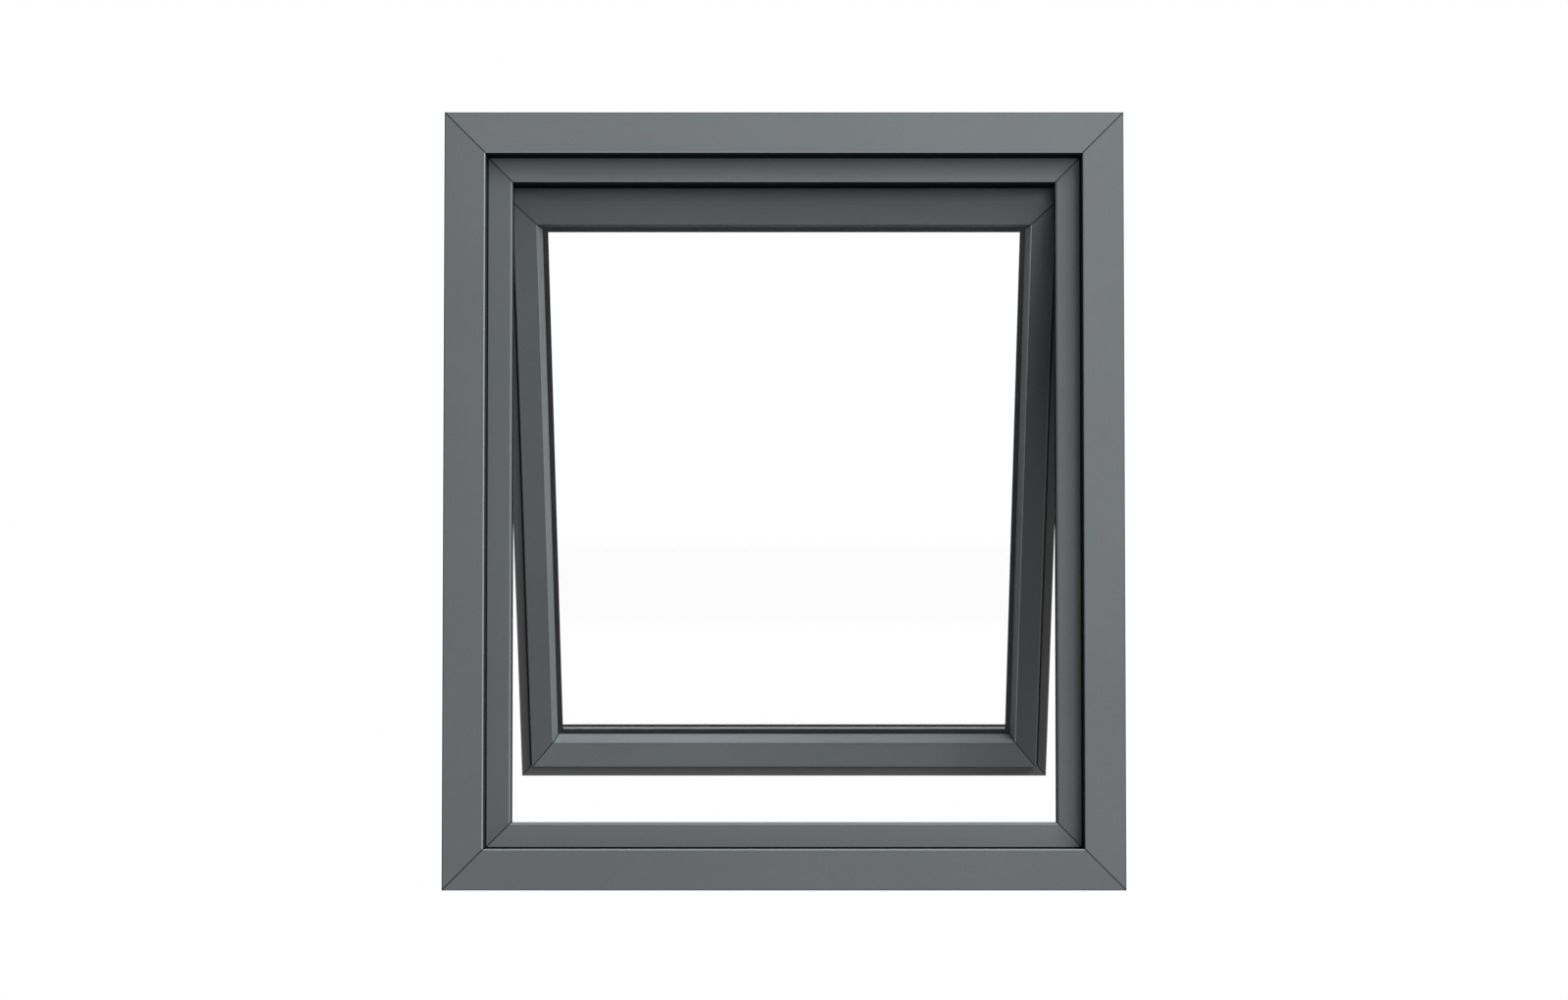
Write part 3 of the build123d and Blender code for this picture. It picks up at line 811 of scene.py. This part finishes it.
class OBJECT_OT_fit_stay_fasteners(bpy.types.Operator):
    """Fits the screws, rivets and end stops of both stays"""

    bl_idname = "object.fit_stay_fasteners"
    bl_label = "Fit the Stay Fasteners"

    def execute(self, context):
        stays = context.scene.window_stays
        steel = turned_steel("fastener_steel", stays.steel_colour)
        nylon = moulded_plastic("end_stop_nylon", stays.plastic_colour)
        for side, sign in zip(SIDES, (-1, 1)):
            # Index of the box corner that lies outward on this side
            outer = 0 if sign < 0 else 1
            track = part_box(f"stay_{side}_track")
            floor_x = track[outer].x - sign * TRACK_BASE
            self.fit_screws(stays, side, sign, outer, floor_x, track[0].z, steel)
            self.fit_rivets(stays, side, sign, outer, track[0].z, steel)
            self.fit_end_stops(side, sign, floor_x, (track[0].z, track[1].z), nylon)
        return {"FINISHED"}

    def fit_screws(self, stays, side, sign, outer, floor_x, track_low, steel):
        """Countersunk screws of one sash bar and one track."""
        head = partial(screw_head, radius=stays.screw_head / 2, proud=SCREW_PROUD, sunk=SCREW_SUNK,
                       count=stays.facets)
        bar_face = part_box(f"stay_{side}_sash_bar")[outer].x
        screws = []
        for reach in SASH_BAR_SCREWS:
            spot = PIVOT - SASH_UP * reach
            screws.append((facing(Vector((bar_face, spot.y, spot.z)), Vector((sign, 0, 0))), head))
        for rise in TRACK_SCREWS:
            spot = Vector((floor_x, PIVOT.y, track_low + TRACK_TAIL + rise))
            screws.append((facing(spot, Vector((-sign, 0, 0))), head))
        fit_piece(f"stay_{side}_screws", screws, steel)

    def fit_rivets(self, stays, side, sign, outer, track_low, steel):
        """Domed rivet between one arm and its sash bar, and the flat one at the arm's foot."""
        head = partial(rivet_head, radius=stays.rivet_head / 2, count=stays.facets)
        arm_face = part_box(f"stay_{side}_support_arm")[outer].x
        joint = PIVOT - SASH_UP * ARM_ON_SASH_BAR
        upper = facing(Vector((arm_face, joint.y, joint.z)), Vector((sign, 0, 0)))
        foot = Vector((arm_face - sign * ARM_THICKNESS, PIVOT.y, track_low + TRACK_TAIL))
        lower = facing(foot, Vector((-sign, 0, 0)))
        rivets = [(upper, partial(head, rise=DOME_RISE)), (lower, partial(head, rise=FLAT_RISE))]
        fit_piece(f"stay_{side}_rivets", rivets, steel)

    def fit_end_stops(self, side, sign, floor_x, heights, nylon):
        """Stops at both ends of one track, with their ramps to its middle."""
        width, rise, length = END_STOP_SIZE
        stop = partial(end_stop, width=width, rise=rise, length=length)
        ends = [facing(Vector((floor_x, PIVOT.y, height)), Vector((-sign, 0, 0))) for height in heights]
        lengthwise = ends[0].to_3x3() @ Vector((0, 1, 0))
        turned = 0 if lengthwise.z < 0 else 1
        ends[turned] = ends[turned] @ Matrix.Rotation(pi, 4, "Z")
        fit_piece(f"stay_{side}_end_stops", [(end, stop) for end in ends], nylon)


class OBJECT_OT_set_window_studio(bpy.types.Operator):
    """Lays the floor and sets the light and the camera"""

    bl_idname = "object.set_window_studio"
    bl_label = "Set the Studio"

    def execute(self, context):
        studio = context.scene.window_studio
        self.lay_floor(studio)
        self.set_surround(context.scene, studio)
        self.hang_light("front_light", FRONT_LIGHT, studio.front_power, studio.front_size)
        self.hang_light("upper_light", UPPER_LIGHT, studio.upper_power, studio.upper_size)
        self.hang_light("back_light", BACK_LIGHT, studio.back_power, studio.back_size)
        self.set_camera(context.scene, studio)
        context.scene.view_settings.view_transform = "Standard"
        return {"FINISHED"}

    def lay_floor(self, studio):
        """Plain pale floor with a slight unevenness of tone, which fades to white far from the window."""
        mesh = bmesh.new()
        bmesh.ops.create_grid(mesh, x_segments=8, y_segments=8, size=studio.floor_size / 2)
        data = bpy.data.meshes.new("studio_floor")
        mesh.to_mesh(data)
        mesh.free()
        floor = bpy.data.objects.new("studio_floor", data)
        floor.location.z = -studio.floor_drop
        bpy.context.scene.collection.objects.link(floor)
        finish = Finish("floor_paint")
        colour = tuple(studio.floor_colour)
        finish.set(Base_Color=finish.tint(
            finish.noise(1.5, 3), scaled(colour, 0.97), scaled(colour, 1.03)))
        rays = finish.add("ShaderNodeLightPath").outputs
        x, y = finish.dot(finish.place, (1, 0, 0)), finish.dot(finish.place, (0, 1, 0))
        radius = finish.math("SQRT", finish.math(
            "ADD", finish.math("MULTIPLY", x, x), finish.math("MULTIPLY", y, y)))
        white_radius = studio.floor_size / 2 - FLOOR_WHITE_RIM
        glow = finish.fade(radius, FLOOR_MIDDLE_RADIUS, white_radius, FLOOR_MIDDLE, 1.0)
        direct = finish.math("MAXIMUM", rays["Is Camera Ray"], rays["Is Transmission Ray"])
        seen = finish.math("MULTIPLY", glow, direct)
        finish.set(Emission_Color=(1, 1, 1, 1))
        finish.set(Emission_Strength=finish.math("MAXIMUM", seen, rays["Is Glossy Ray"]))
        finish.material.cycles.emission_sampling = "NONE"
        finish.set(Roughness=0.9, Specular_IOR_Level=0.2)
        data.materials.append(finish.material)

    def set_surround(self, scene, studio):
        """White surround for the camera, for gloss and through glass, and a soft even light."""
        world = bpy.data.worlds.new("studio_surround")
        world.use_nodes = True
        nodes, links = world.node_tree.nodes, world.node_tree.links
        nodes.clear()
        path = nodes.new("ShaderNodeLightPath")
        seen = path.outputs["Is Camera Ray"]
        for ray in ("Is Glossy Ray", "Is Transmission Ray"):
            either = nodes.new("ShaderNodeMath")
            either.operation = "MAXIMUM"
            links.new(seen, either.inputs[0])
            links.new(path.outputs[ray], either.inputs[1])
            seen = either.outputs[0]
        height = nodes.new("ShaderNodeSeparateXYZ")
        links.new(nodes.new("ShaderNodeTexCoord").outputs["Generated"], height.inputs[0])
        sky = nodes.new("ShaderNodeMapRange")
        links.new(height.outputs["Z"], sky.inputs[0])
        for socket, number in zip(list(sky.inputs)[1:5], (*HORIZON, 0.0, studio.surround)):
            socket.default_value = number
        level = nodes.new("ShaderNodeMapRange")
        links.new(seen, level.inputs[0])
        links.new(sky.outputs[0], level.inputs[3])
        level.inputs[4].default_value = 1.0
        light = nodes.new("ShaderNodeBackground")
        light.inputs["Color"].default_value = (1, 1, 1, 1)
        links.new(level.outputs[0], light.inputs["Strength"])
        output = nodes.new("ShaderNodeOutputWorld")
        links.new(light.outputs[0], output.inputs["Surface"])
        scene.world = world

    def hang_light(self, name, place, power, size):
        """Square soft light turned to the middle of the window."""
        data = bpy.data.lights.new(name, "AREA")
        data.shape = "SQUARE"
        data.energy = power
        data.size = size
        light = bpy.data.objects.new(name, data)
        light.location = place
        middle = (CAD_BOX[0] + CAD_BOX[1]) / 2
        light.rotation_euler = (middle - Vector(place)).to_track_quat("-Z", "Y").to_euler()
        light.visible_camera = False
        light.visible_transmission = False
        bpy.context.scene.collection.objects.link(light)

    def set_camera(self, scene, studio):
        """Camera low in front of the window, looking up a little."""
        data = bpy.data.cameras.new("window_camera")
        data.lens = studio.lens
        data.sensor_width = SENSOR_WIDTH
        data.shift_y = CAMERA_SHIFT
        camera = bpy.data.objects.new("window_camera", data)
        camera.location = CAMERA
        camera.rotation_euler = (radians(90 + CAMERA_TILT), 0, 0)
        scene.collection.objects.link(camera)
        scene.camera = camera


class VIEW3D_PT_awning_window(bpy.types.Panel):
    """Lists the steps and the settings of the window's looks"""

    bl_idname = "VIEW3D_PT_awning_window"
    bl_label = "Awning Window"
    bl_space_type = "VIEW_3D"
    bl_region_type = "UI"
    bl_category = "Awning Window"

    def draw(self, context):
        layout = self.layout
        for operator in OPERATORS:
            layout.operator(operator.bl_idname)
        for holder in SETTINGS:
            settings = getattr(context.scene, holder)
            box = layout.box()
            for name in settings.__annotations__:
                box.prop(settings, name)


SETTINGS = {
    "window_coat": WindowCoat,
    "window_glazing": WindowGlazing,
    "window_stays": WindowStays,
    "window_studio": WindowStudio,
}
OPERATORS = (
    OBJECT_OT_coat_window_frame,
    OBJECT_OT_coat_window_sash,
    OBJECT_OT_finish_window_glazing,
    OBJECT_OT_finish_window_stays,
    OBJECT_OT_fit_stay_fasteners,
    OBJECT_OT_set_window_studio,
)


def register():
    """Registers the settings, the operators and the panel."""
    for holder, group in SETTINGS.items():
        bpy.utils.register_class(group)
        setattr(bpy.types.Scene, holder, PointerProperty(type=group))
    for item in (*OPERATORS, VIEW3D_PT_awning_window):
        bpy.utils.register_class(item)


def unregister():
    """Takes the settings, the operators and the panel away again."""
    for item in reversed((*OPERATORS, VIEW3D_PT_awning_window)):
        bpy.utils.unregister_class(item)
    for holder, group in reversed(list(SETTINGS.items())):
        delattr(bpy.types.Scene, holder)
        bpy.utils.unregister_class(group)


def main():
    """Dresses the window."""
    register()
    for operator in OPERATORS:
        group, name = operator.bl_idname.split(".")
        getattr(getattr(bpy.ops, group), name)()


if __name__ == "__main__":
    main()
